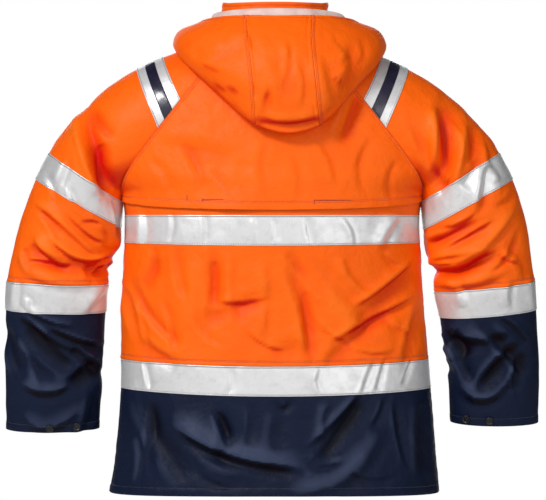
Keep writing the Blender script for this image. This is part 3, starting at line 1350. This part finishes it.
def make_collar():
    shell = Shell(collar, (-1, 1), (0, 1), (RAW, RAW, RAW, SEAM), seed=70)
    cloth_piece("collar", shell, ORANGE, ORANGE_BACK)
    stitches("stitches_collar", edge_lines(shell, 0, -6), ORANGE_THREAD)


def make_hood():
    edge = HOOD_CENTRE_SHARE
    parts = {
        "hood_right": ((-1, -edge), (SEAM, SEAM, SEAM, SEAM)),
        "hood_centre": ((-edge, edge), (SEAM, SEAM, SEAM, SEAM)),
        "hood_left": ((edge, 1), (SEAM, SEAM, SEAM, SEAM)),
    }
    lines = []
    for seed, (node, (ends, edges)) in enumerate(parts.items()):
        shell = Shell(hood, ends, (0, HOOD_RAILS), edges, wall=HOOD_CLOTH, seed=80 + seed)
        cloth_piece(node, shell, ORANGE, ORANGE_BACK)
        lines += edge_lines(shell, 0, -6)
        if node != "hood_centre":
            lines += edge_lines(shell, 1, *((-2.5, -6) if node == "hood_right" else (2.5, 6)))
    under = -(HOOD_CLOTH + 2.4)
    lining = Shell(hood, (-1, 1), (0, HOOD_RAILS), cell=LINING_CELL, wall=LINING, out=lifted(under), seed=84)
    cloth_piece("hood_lining", lining, WHITE, WHITE)
    stitches("stitches_hood", lines, ORANGE_THREAD)


# Camera, floor and light

CAMERA = {"x": -0.0017, "y": 3.6, "z": -0.356, "lens": 137.2}
FLOOR = {"z": -1.55, "radius": 5.5}


def add_camera():
    data = bpy.data.cameras.new("camera")
    data.lens = CAMERA["lens"]
    data.sensor_width = 36
    camera = bpy.data.objects.new("camera", data)
    camera.location = (CAMERA["x"], CAMERA["y"], CAMERA["z"])
    camera.rotation_euler = (math.pi / 2, 0, math.pi)
    bpy.context.scene.collection.objects.link(camera)
    bpy.context.scene.camera = camera


def add_floor():
    turns = np.linspace(0, 2 * math.pi, 96, endpoint=False)
    rim = [(FLOOR["radius"] * math.cos(t), FLOOR["radius"] * math.sin(t), FLOOR["z"]) for t in turns]
    mesh = bpy.data.meshes.new("floor")
    mesh.from_pydata(rim, [], [list(range(len(rim)))])
    mesh.materials.append(floor_material())
    floor = bpy.data.objects.new("floor", mesh)
    bpy.context.scene.collection.objects.link(floor)


def add_area(name, place, size, power):
    """A soft light that faces the middle of the jacket."""
    from mathutils import Vector

    data = bpy.data.lights.new(name, "AREA")
    data.shape = "DISK"
    data.size = size
    data.energy = power
    light = bpy.data.objects.new(name, data)
    light.location = place
    aim = Vector((0, 0, -0.35)) - Vector(place)
    light.rotation_euler = aim.to_track_quat("-Z", "Y").to_euler()
    bpy.context.scene.collection.objects.link(light)


def add_world():
    """Bright before the jacket's back, dark beside it, and plain white where the camera sees past it."""
    world = bpy.data.worlds.new("studio")
    bpy.context.scene.world = world
    world.use_nodes = True
    tree = world.node_tree
    tree.nodes.clear()
    link = tree.links.new
    place = tree.nodes.new("ShaderNodeTexCoord")
    axes = tree.nodes.new("ShaderNodeSeparateXYZ")
    link(place.outputs["Generated"], axes.inputs["Vector"])
    ramp = tree.nodes.new("ShaderNodeValToRGB")
    shift = tree.nodes.new("ShaderNodeMapRange")
    shift.inputs["From Min"].default_value = -1
    link(axes.outputs["Y"], shift.inputs["Value"])
    link(shift.outputs["Result"], ramp.inputs["Fac"])
    stops = ((0.0, 0.3), (0.08, 0.08), (0.35, 0.06), (0.5, 0.17), (0.75, 0.38), (0.93, 1.0))
    elements = ramp.color_ramp.elements
    while len(elements) < len(stops):
        elements.new(0.5)
    for element, (position, level) in zip(elements, stops):
        element.position = position
        element.color = (level, level, level, 1)
    light = tree.nodes.new("ShaderNodeBackground")
    light.inputs["Strength"].default_value = 0.78
    link(ramp.outputs["Color"], light.inputs["Color"])
    plain = tree.nodes.new("ShaderNodeBackground")
    plain.inputs["Color"].default_value = (1, 1, 1, 1)
    path = tree.nodes.new("ShaderNodeLightPath")
    choice = tree.nodes.new("ShaderNodeMixShader")
    link(path.outputs["Is Camera Ray"], choice.inputs[0])
    link(light.outputs[0], choice.inputs[1])
    link(plain.outputs[0], choice.inputs[2])
    out = tree.nodes.new("ShaderNodeOutputWorld")
    link(choice.outputs[0], out.inputs["Surface"])


def set_stage():
    add_camera()
    add_floor()
    add_world()
    add_area("key", (2.0, 2.9, 2.0), 1.1, 108)
    add_area("fill", (-1.8, 3.0, 0.2), 1.8, 14)
    add_area("front_key", (0.4, -3.6, 0.6), 3.0, 50)
    add_area("front_fill", (-0.9, -3.6, -0.2), 3.0, 16)
    bpy.context.scene.view_settings.view_transform = "Standard"


set_stage()
make_torso()
make_skirts()
make_body_tapes()
make_flap()
for side_name in ("left", "right"):
    make_sleeve(side_name)
    make_snaps(side_name)
make_collar()
make_hood()
